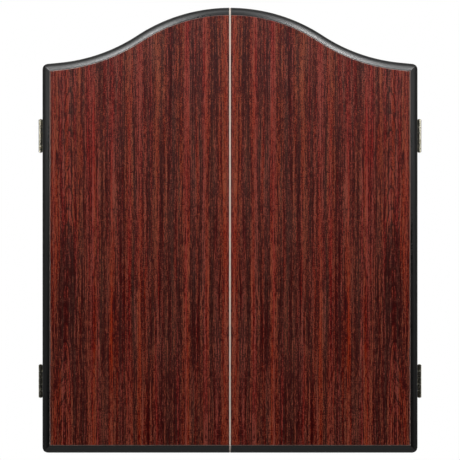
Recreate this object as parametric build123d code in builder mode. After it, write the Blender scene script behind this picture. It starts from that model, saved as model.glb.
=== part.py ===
"""Dart board cabinet: an arched wall box with two doors, each with a scoreboard and a dart rack inside.

Millimetres, with X to the right, Y towards the wall and Z up. The origin lies on the wall plane behind the
bull's-eye of the board that the cabinet holds, which is also the middle of the four wall screws.
"""

import os
from math import asin, atan2, cos, degrees, radians, sin, tan

from build123d import *

# Overall form, seen from the front
cabinet_width = 510.0
shoulder_height = 528.0
arch_rise = 77.0
crown_radius = 230.0
shoulder_run = 25.0
shoulder_slope = 5.75
board_centre_height = 280.0

# Carcass boards and their dowel joints
carcass_depth = 64.0
carcass_corner_radius = 6.5
side_thickness = 15.0
bottom_thickness = 15.0
arch_thickness = 12.0
back_thickness = 9.0
dowel_radius = 3.0
dowel_length = 22.0
dowel_chamfer = 0.75
dowel_cover = 4.0
dowel_setback = 13.0
dowel_clearance = 0.05

# Wall fixing
wall_hole_radius = 2.75
wall_hole_side_inset = 55.0
wall_hole_drop = 48.0

# Doors
door_thickness = 16.0
laminate_thickness = 0.8
laminate_bevel = 0.45
moulding_width = 10.6
moulding_bevel_width = 10.0
moulding_bevel_depth = 4.6
moulding_round = 8.0
moulding_back_round = 1.0
door_corner_radius = 9.0
meeting_gap = 0.6
edge_band_thickness = 0.7

# Butt hinges
hinge_length = 44.5
hinge_inset = 97.0
hinge_knuckles = 5
knuckle_radius = 2.8
knuckle_clearance = 0.3
knuckle_end_gap = 0.2
pin_radius = 1.3
pin_clearance = 0.05
pin_head_radius = 2.1
pin_head_height = 0.9
leaf_width = 13.0
leaf_thickness = 1.2
leaf_gap = 0.4
leaf_corner_radius = 2.0
leaf_hole_inset = 6.2
leaf_hole_end = 10.0

# Small screws, countersunk or pan-headed
screw_radius = 1.4
screw_head_radius = 2.5
screw_length = 11.0
pan_head_radius = 3.2
pan_head_height = 1.8
screw_clearance = 0.1
pilot_clearance = 0.05

# Long countersunk screws through the back into the carcass
back_screw_radius = 1.6
back_screw_head_radius = 3.2
back_screw_length = 30.0
back_screw_sink = 0.2
back_screw_end = 60.0
back_screw_rows = 4
back_screw_foot_x = 120.0
back_screw_crown_angle = 12.0

# Board bracket
bracket_plate_width = 40.0
bracket_foot_width = 18.0
bracket_height = 64.0
bracket_standoff = 8.0
bracket_gauge = 1.5
bracket_bend_radius = 2.5
bracket_slot_width = 7.0
bracket_slot_mouth = 14.0
bracket_slot_flare = 10.0
bracket_hole_end = 12.0
bracket_corner_radius = 4.0
bracket_screw_length = 9.0

# Double magnetic catch and its strike plates
catch_length = 46.0
catch_depth = 15.0
catch_height = 12.0
catch_ear_length = 10.0
catch_ear_height = 3.0
catch_side_round = 1.5
catch_top_round = 0.75
catch_ear_round = 3.0
magnet_pitch = 22.0
magnet_width = 17.0
magnet_depth = 11.0
magnet_height = 4.5
pole_thickness = 1.4
pole_lead = 1.0
pocket_clearance = 0.1
strike_width = 18.0
strike_height = 12.0
strike_thickness = 1.2
strike_air_gap = 0.2
strike_corner_radius = 2.0

# Scoreboard inside each door
scoreboard_width = 200.0
scoreboard_height = 360.0
scoreboard_thickness = 3.0
scoreboard_foot = 130.0
scoreboard_margin = 9.0
scoreboard_corner_radius = 6.0
scoreboard_hole_inset = 9.0
scoreboard_hole_rows = 3

# Dart rack inside each door
rack_length = 84.0
rack_reach = 32.0
rack_shelf_thickness = 4.0
rack_flange_thickness = 3.0
rack_flange_height = 24.0
rack_shelf_height = 72.0
rack_margin = 9.0
rack_rib_thickness = 2.5
rack_rib_setback = 6.0
rack_edge_radius = 1.5
rack_hole_drop = 14.0
dart_slots = 3
dart_slot_pitch = 27.0
dart_slot_width = 7.0
dart_slot_depth = 18.0

# Levels and depths that follow from those sizes, depths being counted forwards from the wall
half_width = cabinet_width / 2
inner_half_width = half_width - side_thickness
base_z = -board_centre_height
floor_z = base_z + bottom_thickness
shoulder_z = base_z + shoulder_height
crown_z = shoulder_z + arch_rise
carcass_run = carcass_depth - back_thickness
hinge_gap = 2 * leaf_thickness + leaf_gap
door_back = carcass_depth + hinge_gap
core_thickness = door_thickness - laminate_thickness
free_edge = meeting_gap / 2 + edge_band_thickness

# The top edge: a sloping run in from the shoulder, a cove and a round crown, each tangent to the next
slope = radians(shoulder_slope)
run_direction = Vector(cos(slope), sin(slope))
run_normal = Vector(-sin(slope), cos(slope))
run_end = Vector(-half_width, shoulder_z) + run_direction * shoulder_run
crown_centre = Vector(0, crown_z - crown_radius)
spoke = run_end - crown_centre
cove_radius = (spoke.dot(spoke) - crown_radius**2) / (2 * (crown_radius - spoke.dot(run_normal)))
centre_line = run_end + run_normal * cove_radius - crown_centre
steepest_angle = degrees(atan2(-centre_line.X, centre_line.Y))

# Planes that outlines are drawn on look forwards, and planes that fixings go in from face the screwdriver
wall_face = Plane((0, 0, 0), x_dir=(-1, 0, 0), z_dir=(0, 1, 0))
back_front = Plane.XZ.offset(back_thickness)
floor_face = Plane.XY.offset(floor_z)
door_back_plane = Plane.XZ.offset(door_back)
door_inner_face = Plane((0, -door_back, 0), x_dir=(-1, 0, 0), z_dir=(0, 1, 0))

os.makedirs("parts", exist_ok=True)


def write(part, name):
    """Labels a finished piece and writes it to its own file."""
    part.label = name
    export_step(part, f"parts/{name}.step")


def write_pair(part, name):
    """Writes a left-hand piece and its mirror image."""
    write(part, f"left_{name}")
    with BuildPart() as mirrored:
        mirror(part, about=Plane.YZ)
    write(mirrored.part, f"right_{name}")


def run_level(inset, reach):
    """Height of the shoulder run, set in by inset, at x = -reach."""
    cove_start = run_end - run_normal * inset
    return cove_start.Y - (cove_start.X + reach) * tan(slope)


def draw_top_edge(inset, reach, stop=0.0):
    """Draws the left half of the top edge, set in by inset, from x = -reach to x = -stop."""
    run = Line((-reach, run_level(inset, reach)), run_end - run_normal * inset)
    cove = JernArc(run @ 1, run % 1, cove_radius + inset, steepest_angle - shoulder_slope)
    stop_angle = degrees(asin(stop / (crown_radius - inset)))
    crown = JernArc(cove @ 1, cove % 1, crown_radius - inset, stop_angle - steepest_angle)
    return run @ 0, crown @ 1


def left_outline(top_inset, edge_inset, stop=0.0):
    """The left half of the front outline, set in from the top and from the side and foot."""
    left = half_width - edge_inset
    foot = base_z + edge_inset
    with BuildSketch() as outline:
        with BuildLine():
            top_left, top_right = draw_top_edge(top_inset, left, stop)
            Polyline(top_right, (-stop, foot), (-left, foot), top_left)
        make_face()
    return outline.sketch


def countersunk_screw(head_radius, radius, length):
    """A countersunk wood screw with its flat head level with z = 0 and its point at z = -length."""
    with BuildPart() as screw:
        with BuildSketch(Plane.XZ):
            with BuildLine():
                head = Polyline((0, 0), (head_radius, 0), (radius, radius - head_radius))
                Polyline(head @ 1, (radius, 2 * radius - length), (0, -length), head @ 0)
            make_face()
        revolve(axis=Axis.Z)
    return screw.part


def pan_screw(length):
    """A pan-head wood screw whose head sits on z = 0, with its point at z = -length."""
    with BuildPart() as screw:
        with BuildSketch(Plane.XZ):
            with BuildLine():
                dome = TangentArc((0, pan_head_height), (pan_head_radius, 0), tangent=(1, 0))
                shank = Polyline(dome @ 1, (screw_radius, 0), (screw_radius, 2 * screw_radius - length))
                Polyline(shank @ 1, (0, -length), dome @ 0)
            make_face()
        revolve(axis=Axis.Z)
    return screw.part


def fit(plane, points, piece):
    """Adds equal pieces to the group being built, standing on a plane at the given points."""
    with Locations(plane):
        with Locations(*points):
            add(piece)


def drill(plane, points, radius, depth):
    """Drills blind holes in the piece being built, from a plane at the given points."""
    with Locations(plane):
        with Locations(*points):
            Cylinder(radius, depth, align=(Align.CENTER, Align.CENTER, Align.MAX), mode=Mode.SUBTRACT)


def drill_through(plane, points, radius):
    """Drills holes right through the piece being built."""
    with Locations(plane):
        with Locations(*points):
            Hole(radius)


def countersink(plane, points, radius, head_radius):
    """Drills and countersinks the piece being built for flush screw heads."""
    with Locations(plane):
        with Locations(*points):
            CounterSinkHole(radius, head_radius, counter_sink_angle=90)


# Small screws and the holes that take them
flush_screw = countersunk_screw(screw_head_radius, screw_radius, screw_length)
round_screw = pan_screw(screw_length)
pilot_radius = screw_radius + pilot_clearance
pilot_depth = screw_length + screw_clearance
through_radius = screw_radius + screw_clearance
sink_radius = screw_head_radius + screw_clearance

# Hinges on the left: the pin runs along each plane's Z, and the leaf lies towards the plane's X and Y
pin_x = half_width + knuckle_clearance + knuckle_radius
pin_depth = carcass_depth + hinge_gap / 2
leaf_start = knuckle_radius + knuckle_clearance
leaf_hole_rise = hinge_length / 2 - leaf_hole_end
leaf_holes = [(leaf_start + leaf_hole_inset, rise) for rise in (-leaf_hole_rise, leaf_hole_rise)]
hinge_levels = {"upper": shoulder_z - hinge_inset, "lower": base_z + hinge_inset}
cabinet_hinges = {
    name: Plane((-pin_x, -pin_depth, z), x_dir=(1, 0, 0), z_dir=(0, 0, 1))
    for name, z in hinge_levels.items()
}
door_hinges = {
    name: Plane((-pin_x, -pin_depth, z), x_dir=(1, 0, 0), z_dir=(0, 0, -1))
    for name, z in hinge_levels.items()
}


def leaf_face(hinge):
    """The face of a leaf that looks at the other leaf, where its screws go in."""
    return Plane(hinge.from_local_coords((0, leaf_gap / 2, 0)), x_dir=hinge.x_dir, z_dir=-hinge.y_dir)


def hinge_leaf(hinge, knuckles):
    """One leaf of a butt hinge, with the knuckles that belong to it."""
    end = -hinge_length / 2
    pitch = hinge_length / hinge_knuckles
    with BuildPart() as leaf:
        with BuildSketch(leaf_face(hinge)) as plate:
            with Locations((leaf_start, 0)):
                Rectangle(leaf_width, hinge_length, align=(Align.MIN, Align.CENTER))
            fillet(plate.vertices().group_by(Axis.X)[-1], leaf_corner_radius)
        extrude(amount=-leaf_thickness)
        for knuckle in knuckles:
            with BuildSketch(hinge.offset(end + knuckle * pitch + knuckle_end_gap / 2)):
                Circle(knuckle_radius)
                with Locations((0, leaf_gap / 2)):
                    Rectangle(leaf_start, leaf_thickness, align=(Align.MIN, Align.MIN))
            extrude(amount=pitch - knuckle_end_gap)
        with BuildSketch(hinge.offset(end)):
            Circle(pin_radius + pin_clearance)
        extrude(amount=hinge_length, mode=Mode.SUBTRACT)
        countersink(leaf_face(hinge), leaf_holes, through_radius, sink_radius)
    return leaf.part


def hinge_pin(hinge):
    """A hinge pin with a shallow domed head on each end of the barrel."""
    end = hinge_length / 2
    with BuildPart() as pin:
        with BuildSketch(Plane(hinge.origin, x_dir=hinge.x_dir, z_dir=-hinge.y_dir)):
            with BuildLine():
                dome = TangentArc((0, end + pin_head_height), (pin_head_radius, end), tangent=(1, 0))
                shank = Polyline(dome @ 1, (pin_radius, end), (pin_radius, 0))
                Polyline(shank @ 1, (0, 0), dome @ 0)
            make_face()
        revolve(axis=Axis(hinge.origin, hinge.z_dir))
        mirror(about=hinge)
    return pin.part


for level in hinge_levels:
    write_pair(hinge_leaf(cabinet_hinges[level], range(0, hinge_knuckles, 2)), f"{level}_cabinet_leaf")
    write_pair(hinge_leaf(door_hinges[level], range(1, hinge_knuckles, 2)), f"{level}_door_leaf")
    write_pair(hinge_pin(cabinet_hinges[level]), f"{level}_hinge_pin")

with BuildPart() as cabinet_hinge_screws:
    for hinge in cabinet_hinges.values():
        fit(leaf_face(hinge), leaf_holes, flush_screw)
    mirror(about=Plane.YZ)
write(cabinet_hinge_screws.part, "cabinet_hinge_screws")

# Carcass joints on the left: dowels from the side into the bottom, and from the top down into the side
dowel_depths = (back_thickness + dowel_setback, carcass_depth - dowel_setback)
foot_dowel_face = Plane((-half_width + dowel_cover, 0, 0), x_dir=(0, -1, 0), z_dir=(-1, 0, 0))
foot_dowels = [(depth, base_z + bottom_thickness / 2) for depth in dowel_depths]
head_dowel_x = half_width - side_thickness / 2
head_dowel_face = Plane.XY.offset(run_level(0, head_dowel_x) - dowel_cover)
head_dowels = [(-head_dowel_x, -depth) for depth in dowel_depths]


def drill_dowel_holes():
    """Drills the carcass board being built for the left-hand dowels."""
    for face, points in ((foot_dowel_face, foot_dowels), (head_dowel_face, head_dowels)):
        drill(face, points, dowel_radius + dowel_clearance, dowel_length + dowel_clearance)


with BuildPart() as dowel:
    Cylinder(dowel_radius, dowel_length, align=(Align.CENTER, Align.CENTER, Align.MAX))
    chamfer(dowel.edges().filter_by(GeomType.CIRCLE), dowel_chamfer)

with BuildPart() as carcass_dowels:
    fit(foot_dowel_face, foot_dowels, dowel.part)
    fit(head_dowel_face, head_dowels, dowel.part)
    mirror(about=Plane.YZ)
write(carcass_dowels.part, "carcass_dowels")

# Back screws on the left: up the side, one in the bottom and two in the arched top
side_screw_pitch = (shoulder_height - 2 * back_screw_end) / (back_screw_rows - 1)
arch_middle_radius = crown_radius - arch_thickness / 2
back_screw_points = [
    (half_width - side_thickness / 2, base_z + back_screw_end + row * side_screw_pitch)
    for row in range(back_screw_rows)
]
back_screw_points.append((back_screw_foot_x, base_z + bottom_thickness / 2))
for angle in (radians(back_screw_crown_angle), radians(steepest_angle)):
    arch_screw_z = crown_centre.Y + arch_middle_radius * cos(angle)
    back_screw_points.append((arch_middle_radius * sin(angle), arch_screw_z))
back_screw_face = wall_face.offset(-back_screw_sink)


def drill_back_pilots():
    """Drills the carcass board being built for the left-hand back screws."""
    pilot = back_screw_radius + pilot_clearance
    drill(back_screw_face, back_screw_points, pilot, back_screw_length + screw_clearance)


with BuildPart() as back_screws:
    back_screw = countersunk_screw(back_screw_head_radius, back_screw_radius, back_screw_length)
    fit(back_screw_face, back_screw_points, back_screw)
    mirror(about=Plane.YZ)
write(back_screws.part, "back_screws")

# Side panels
with BuildPart() as side_panel:
    with BuildSketch(back_front) as side_section:
        add(left_outline(arch_thickness, 0))
        with Locations((-half_width, base_z)):
            Rectangle(
                side_thickness,
                shoulder_height + arch_rise,
                align=(Align.MIN, Align.MIN),
                mode=Mode.INTERSECT,
            )
        fillet(side_section.vertices().sort_by_distance((-half_width, base_z))[0], carcass_corner_radius)
    extrude(amount=carcass_run)
    drill_dowel_holes()
    drill_back_pilots()
    for hinge in cabinet_hinges.values():
        drill(leaf_face(hinge), leaf_holes, pilot_radius, pilot_depth)
write_pair(side_panel.part, "side_panel")

# Double magnetic catch on the floor, behind the meeting edges
magnet_z = floor_z + catch_height / 2
pole_front = door_back - strike_thickness - strike_air_gap
magnet_front = pole_front - pole_lead
stack_height = magnet_height + 2 * pole_thickness
pocket_depth = carcass_depth - magnet_front + magnet_depth + pocket_clearance
magnet_centres = [(-magnet_pitch / 2, magnet_z), (magnet_pitch / 2, magnet_z)]
ear_x = (catch_length + catch_ear_length) / 2
ear_y = -carcass_depth + catch_depth / 2
ear_holes = [(-ear_x, ear_y), (ear_x, ear_y)]
ear_face = floor_face.offset(catch_ear_height)

with BuildPart() as catch_housing:
    with BuildSketch(floor_face):
        with Locations((0, ear_y)):
            Rectangle(catch_length, catch_depth)
    extrude(amount=catch_height)
    fillet(catch_housing.edges().filter_by(Axis.Z), catch_side_round)
    fillet(catch_housing.faces().sort_by(Axis.Z)[-1].edges(), catch_top_round)
    with BuildSketch(floor_face):
        with Locations((0, ear_y)):
            RectangleRounded(catch_length + 2 * catch_ear_length, catch_depth, catch_ear_round)
    extrude(amount=catch_ear_height)
    with BuildSketch(Plane.XZ.offset(carcass_depth)):
        with Locations(*magnet_centres):
            Rectangle(magnet_width + 2 * pocket_clearance, stack_height + 2 * pocket_clearance)
    extrude(amount=-pocket_depth, mode=Mode.SUBTRACT)
    drill_through(ear_face, ear_holes, through_radius)
write(catch_housing.part, "catch_housing")

with BuildPart() as catch_magnets:
    with BuildSketch(Plane.XZ.offset(magnet_front)):
        with Locations(*magnet_centres):
            Rectangle(magnet_width, magnet_height)
    extrude(amount=-magnet_depth)
write(catch_magnets.part, "catch_magnets")

with BuildPart() as catch_pole_plates:
    with BuildSketch(Plane.XZ.offset(pole_front)):
        for x, z in magnet_centres:
            with Locations((x, z + magnet_height / 2)):
                Rectangle(magnet_width, pole_thickness, align=(Align.CENTER, Align.MIN))
            with Locations((x, z - magnet_height / 2)):
                Rectangle(magnet_width, pole_thickness, align=(Align.CENTER, Align.MAX))
    extrude(amount=-magnet_depth - pole_lead)
write(catch_pole_plates.part, "catch_pole_plates")

with BuildPart() as catch_screws:
    fit(ear_face, ear_holes, round_screw)
write(catch_screws.part, "catch_screws")

# Bottom panel, made as its left half and mirrored
with BuildPart() as bottom_panel:
    with BuildSketch(back_front):
        with Locations((0, base_z)):
            Rectangle(inner_half_width, bottom_thickness, align=(Align.MAX, Align.MIN))
    extrude(amount=carcass_run)
    drill_dowel_holes()
    drill_back_pilots()
    drill(ear_face, ear_holes[:1], pilot_radius, pilot_depth)
    mirror(about=Plane.YZ)
write(bottom_panel.part, "bottom_panel")

# Arched top panel, bent to the same curve as the doors
with BuildPart() as arched_top_panel:
    with BuildSketch(back_front) as arch_section:
        with BuildLine():
            outer_foot, outer_crown = draw_top_edge(0, half_width)
            inner_foot, inner_crown = draw_top_edge(arch_thickness, half_width)
            Line(outer_foot, inner_foot)
            Line(outer_crown, inner_crown)
        make_face()
        fillet(arch_section.vertices().sort_by_distance(outer_foot)[0], carcass_corner_radius)
    extrude(amount=carcass_run)
    drill_dowel_holes()
    drill_back_pilots()
    mirror(about=Plane.YZ)
write(arched_top_panel.part, "arched_top_panel")

# Board bracket: a hat-section steel plate whose slot ends at the bull's-eye
bracket_foot_face = back_front.offset(bracket_gauge)
bracket_plate_depth = back_thickness + bracket_standoff
bracket_hole_x = (bracket_plate_width + bracket_foot_width) / 2
bracket_hole_z = bracket_height / 2 - bracket_hole_end
bracket_holes = [
    (x, z)
    for x in (-bracket_hole_x, bracket_hole_x)
    for z in (-bracket_hole_z, bracket_hole_z)
]

with BuildPart() as board_bracket:
    with BuildSketch(Plane.XY.offset(-bracket_height / 2)):
        with BuildLine():
            FilletPolyline(
                (0, -bracket_plate_depth - bracket_gauge / 2),
                (-(bracket_plate_width - bracket_gauge) / 2, -bracket_plate_depth - bracket_gauge / 2),
                (-(bracket_plate_width - bracket_gauge) / 2, -back_thickness - bracket_gauge / 2),
                (-bracket_plate_width / 2 - bracket_foot_width, -back_thickness - bracket_gauge / 2),
                radius=bracket_bend_radius,
            )
        trace(line_width=bracket_gauge)
    extrude(amount=bracket_height)
    mirror(about=Plane.YZ)
    with BuildSketch(Plane.XZ.offset(bracket_plate_depth)):
        Circle(bracket_slot_width / 2)
        Rectangle(bracket_slot_width, bracket_height / 2, align=(Align.CENTER, Align.MIN))
        with BuildLine():
            flare = Line(
                (-bracket_slot_width / 2, bracket_height / 2 - bracket_slot_flare),
                (-bracket_slot_mouth / 2, bracket_height / 2),
            )
            mirrored_flare = mirror(flare, about=Plane.YZ)
            Line(flare @ 0, mirrored_flare.edge() @ 0)
            Line(flare @ 1, mirrored_flare.edge() @ 1)
        make_face()
    extrude(amount=bracket_gauge, mode=Mode.SUBTRACT)
    foot_edges = board_bracket.edges().filter_by(Axis.Y)
    foot_corners = foot_edges.group_by(Axis.X)[0] + foot_edges.group_by(Axis.X)[-1]
    fillet(foot_corners, bracket_corner_radius)
    drill_through(bracket_foot_face, bracket_holes, through_radius)
write(board_bracket.part, "board_bracket")

with BuildPart() as bracket_screws:
    fit(bracket_foot_face, bracket_holes, pan_screw(bracket_screw_length))
write(bracket_screws.part, "bracket_screws")

# Back panel, screwed over the rear edges of the carcass
wall_hole_z = shoulder_z - wall_hole_drop
wall_holes = [(half_width - wall_hole_side_inset, z) for z in (-wall_hole_z, wall_hole_z)]

with BuildPart() as back_panel:
    with BuildSketch(Plane.XZ) as back_outline:
        add(left_outline(0, 0))
        fillet(back_outline.vertices().group_by(Axis.X)[0], carcass_corner_radius)
    extrude(amount=back_thickness)
    countersink(
        back_screw_face,
        back_screw_points,
        back_screw_radius + screw_clearance,
        back_screw_head_radius + screw_clearance,
    )
    drill_through(wall_face, wall_holes, wall_hole_radius)
    drill(bracket_foot_face, bracket_holes[:2], pilot_radius, bracket_screw_length + screw_clearance)
    mirror(about=Plane.YZ)
write(back_panel.part, "back_panel")

# Mouldings round the left door: mitred at the shoulder and the foot, with the outer corners rounded off
shoulder_corner = (-half_width, shoulder_z)
foot_corner = (-half_width, base_z)
moulding_reach = half_width - moulding_width
shoulder_mitre_line = Vector(moulding_width, 0, run_level(moulding_width, moulding_reach) - shoulder_z)
foot_mitre_line = Vector(moulding_width, 0, moulding_width)
shoulder_mitre = Plane(
    (-half_width, 0, shoulder_z),
    x_dir=shoulder_mitre_line,
    z_dir=shoulder_mitre_line.cross(Vector(0, 1, 0)),
)
foot_mitre = Plane(
    (-half_width, 0, base_z),
    x_dir=foot_mitre_line,
    z_dir=foot_mitre_line.cross(Vector(0, 1, 0)),
)


def outer_edges(moulding, outward, end):
    """The long edges of a moulding's outer faces: those in front for end 0, those at the back for end -1."""
    outer_faces = moulding.faces().filter_by(lambda face: face.normal_at().dot(outward) > 0.8)
    return outer_faces.edges().group_by(Axis.Y)[end]


def shape_moulding(moulding, outward):
    """Bevels the front of the moulding being built down to its outer face and rounds both outer arrises."""
    front_face = moulding.faces().sort_by(Axis.Y)[0]
    front_edges = outer_edges(moulding, outward, 0)
    chamfer(front_edges, moulding_bevel_width, moulding_bevel_depth, reference=front_face)
    fillet(outer_edges(moulding, outward, 0), moulding_round)
    fillet(outer_edges(moulding, outward, -1), moulding_back_round)


def round_off_corner(corner, side_direction, edge_direction):
    """Cuts the moulding being built to the rounded corner of the door, where two outer edges meet."""
    corner = Vector(*corner)
    leg = 2 * door_corner_radius
    with BuildSketch(door_back_plane) as waste:
        with BuildLine():
            side_end = corner + side_direction * leg
            rounded = FilletPolyline(
                side_end, corner, corner + edge_direction * leg, radius=door_corner_radius
            )
            Polyline(rounded @ 1, corner - (side_direction + edge_direction) * leg, rounded @ 0)
        make_face()
    extrude(waste.sketch, amount=door_thickness, mode=Mode.SUBTRACT)


with BuildPart() as top_moulding:
    with BuildSketch(door_back_plane):
        with BuildLine():
            outer_foot, outer_crown = draw_top_edge(0, half_width, free_edge)
            inner_foot, inner_crown = draw_top_edge(moulding_width, half_width, free_edge)
            Line(outer_foot, inner_foot)
            Line(outer_crown, inner_crown)
        make_face()
    extrude(amount=door_thickness)
    shape_moulding(top_moulding, Vector(0, 0, 1))
    split(bisect_by=shoulder_mitre, keep=Keep.TOP)
    round_off_corner(shoulder_corner, Vector(0, -1), run_direction)
write_pair(top_moulding.part, "top_moulding")

with BuildPart() as side_moulding:
    with BuildSketch(door_back_plane):
        with Locations(foot_corner):
            Rectangle(moulding_width, shoulder_height, align=(Align.MIN, Align.MIN))
    extrude(amount=door_thickness)
    shape_moulding(side_moulding, Vector(-1, 0, 0))
    split(bisect_by=shoulder_mitre, keep=Keep.BOTTOM)
    split(bisect_by=foot_mitre, keep=Keep.TOP)
    round_off_corner(shoulder_corner, Vector(0, -1), run_direction)
    round_off_corner(foot_corner, Vector(0, 1), Vector(1, 0))
    for hinge in door_hinges.values():
        drill(leaf_face(hinge), leaf_holes, pilot_radius, pilot_depth)
write_pair(side_moulding.part, "side_moulding")

with BuildPart() as bottom_moulding:
    with BuildSketch(door_back_plane):
        with Locations(foot_corner):
            Rectangle(half_width - free_edge, moulding_width, align=(Align.MIN, Align.MIN))
    extrude(amount=door_thickness)
    shape_moulding(bottom_moulding, Vector(0, 0, -1))
    split(bisect_by=foot_mitre, keep=Keep.BOTTOM)
    round_off_corner(foot_corner, Vector(0, 1), Vector(1, 0))
write_pair(bottom_moulding.part, "bottom_moulding")

# Fixings on the left door's inner face, with X counted from the centre line towards the hinges
scoreboard_face = door_inner_face.offset(scoreboard_thickness)
scoreboard_x = inner_half_width - scoreboard_margin - scoreboard_width / 2
scoreboard_z = base_z + scoreboard_foot + scoreboard_height / 2
scoreboard_hole_x = scoreboard_width / 2 - scoreboard_hole_inset
scoreboard_hole_pitch = (scoreboard_height - 2 * scoreboard_hole_inset) / (scoreboard_hole_rows - 1)
scoreboard_holes = [
    (x, scoreboard_z + (row - (scoreboard_hole_rows - 1) / 2) * scoreboard_hole_pitch)
    for x in (scoreboard_x - scoreboard_hole_x, scoreboard_x + scoreboard_hole_x)
    for row in range(scoreboard_hole_rows)
]
rack_face = door_inner_face.offset(rack_flange_thickness)
rack_z = base_z + rack_shelf_height
rack_x = inner_half_width - rack_margin - rack_length / 2
dart_slot_steps = [(slot - (dart_slots - 1) / 2) * dart_slot_pitch for slot in range(dart_slots)]
rack_hole_steps = (dart_slot_steps[0], dart_slot_steps[-1])
rack_holes = [(rack_x + step, rack_z - rack_hole_drop) for step in rack_hole_steps]
strike_face = door_inner_face.offset(strike_thickness)
strike_holes = [(magnet_pitch / 2, magnet_z)]

# Door core and its laminate face
with BuildPart() as door_core:
    with BuildSketch(door_back_plane):
        add(left_outline(moulding_width, moulding_width, free_edge))
    extrude(amount=core_thickness)
    for face, holes in (
        (scoreboard_face, scoreboard_holes),
        (rack_face, rack_holes),
        (strike_face, strike_holes),
    ):
        drill(face, holes, pilot_radius, pilot_depth)
write_pair(door_core.part, "door_core")

with BuildPart() as door_laminate:
    with BuildSketch(door_back_plane.offset(core_thickness)):
        add(left_outline(moulding_width, moulding_width, free_edge))
    extrude(amount=laminate_thickness)
    front_edges = door_laminate.faces().sort_by(Axis.Y)[0].edges()
    chamfer(front_edges - front_edges.group_by(Axis.X)[-1], laminate_bevel)
write_pair(door_laminate.part, "door_laminate")

# Pale band down the meeting edge, trimmed to the mouldings' section at both ends
with BuildPart() as meeting_edge_band:
    with BuildSketch(Plane.YZ.offset(-free_edge)) as band_section:
        with Locations((-door_back, base_z)):
            Rectangle(door_thickness, shoulder_height + arch_rise, align=(Align.MAX, Align.MIN))
        front_edge = band_section.edges().sort_by(Axis.X)[0]
        chamfer(front_edge.vertices(), moulding_bevel_width, moulding_bevel_depth, reference=front_edge)
        fillet(band_section.vertices().group_by(Axis.X)[1], moulding_round)
        fillet(band_section.vertices().group_by(Axis.X)[-1], moulding_back_round)
    extrude(amount=edge_band_thickness)
write_pair(meeting_edge_band.part, "meeting_edge_band")

with BuildPart() as door_hinge_screws:
    for hinge in door_hinges.values():
        fit(leaf_face(hinge), leaf_holes, flush_screw)
write_pair(door_hinge_screws.part, "door_hinge_screws")

# Scoreboard
with BuildPart() as scoreboard:
    with BuildSketch(door_inner_face):
        with Locations((scoreboard_x, scoreboard_z)):
            RectangleRounded(scoreboard_width, scoreboard_height, scoreboard_corner_radius)
    extrude(amount=scoreboard_thickness)
    drill_through(scoreboard_face, scoreboard_holes, through_radius)
write_pair(scoreboard.part, "scoreboard")

with BuildPart() as scoreboard_screws:
    fit(scoreboard_face, scoreboard_holes, round_screw)
write_pair(scoreboard_screws.part, "scoreboard_screws")

# Dart rack: an angle with open slots along its shelf and ribs beneath, between the slots
rack_end = Plane((-rack_x - rack_length / 2, -door_back, rack_z), x_dir=(0, 1, 0), z_dir=(1, 0, 0))
rib_starts = [0, rack_length - rack_rib_thickness]
for step in dart_slot_steps[1:]:
    rib_starts.append((rack_length - dart_slot_pitch - rack_rib_thickness) / 2 + step)

with BuildPart() as dart_rack:
    with BuildSketch(rack_end):
        Rectangle(rack_reach, rack_shelf_thickness, align=(Align.MIN, Align.MAX))
        Rectangle(rack_flange_thickness, rack_flange_height, align=(Align.MIN, Align.MAX))
    extrude(amount=rack_length)
    for start in rib_starts:
        with BuildSketch(rack_end.offset(start)):
            with BuildLine():
                Polyline(
                    (0, -rack_shelf_thickness),
                    (rack_reach - rack_rib_setback, -rack_shelf_thickness),
                    (rack_flange_thickness, -rack_flange_height),
                    (0, -rack_flange_height),
                    close=True,
                )
            make_face()
        extrude(amount=rack_rib_thickness)
    with BuildSketch(Plane.XY.offset(rack_z)):
        for step in dart_slot_steps:
            with Locations((-rack_x + step, -door_back + rack_reach - dart_slot_depth)):
                Circle(dart_slot_width / 2)
                Rectangle(dart_slot_width, dart_slot_depth, align=(Align.CENTER, Align.MIN))
    extrude(amount=-rack_shelf_thickness, mode=Mode.SUBTRACT)
    fillet(dart_rack.edges().filter_by(Axis.Z).group_by(Axis.Y)[-1], rack_edge_radius)
    drill_through(rack_face, rack_holes, through_radius)
write_pair(dart_rack.part, "dart_rack")

with BuildPart() as rack_screws:
    fit(rack_face, rack_holes, round_screw)
write_pair(rack_screws.part, "rack_screws")

# Strike plates for the catch
with BuildPart() as strike_plate:
    with BuildSketch(door_inner_face):
        with Locations(*strike_holes):
            RectangleRounded(strike_width, strike_height, strike_corner_radius)
    extrude(amount=strike_thickness)
    countersink(strike_face, strike_holes, through_radius, sink_radius)
write_pair(strike_plate.part, "strike_plate")

with BuildPart() as strike_screw:
    fit(strike_face, strike_holes, flush_screw)
write_pair(strike_screw.part, "strike_screw")
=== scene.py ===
"""Looks of the dart board cabinet: rosewood doors, black mouldings, brass hinges, screws and chalkboards."""

from math import pi, radians

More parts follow.
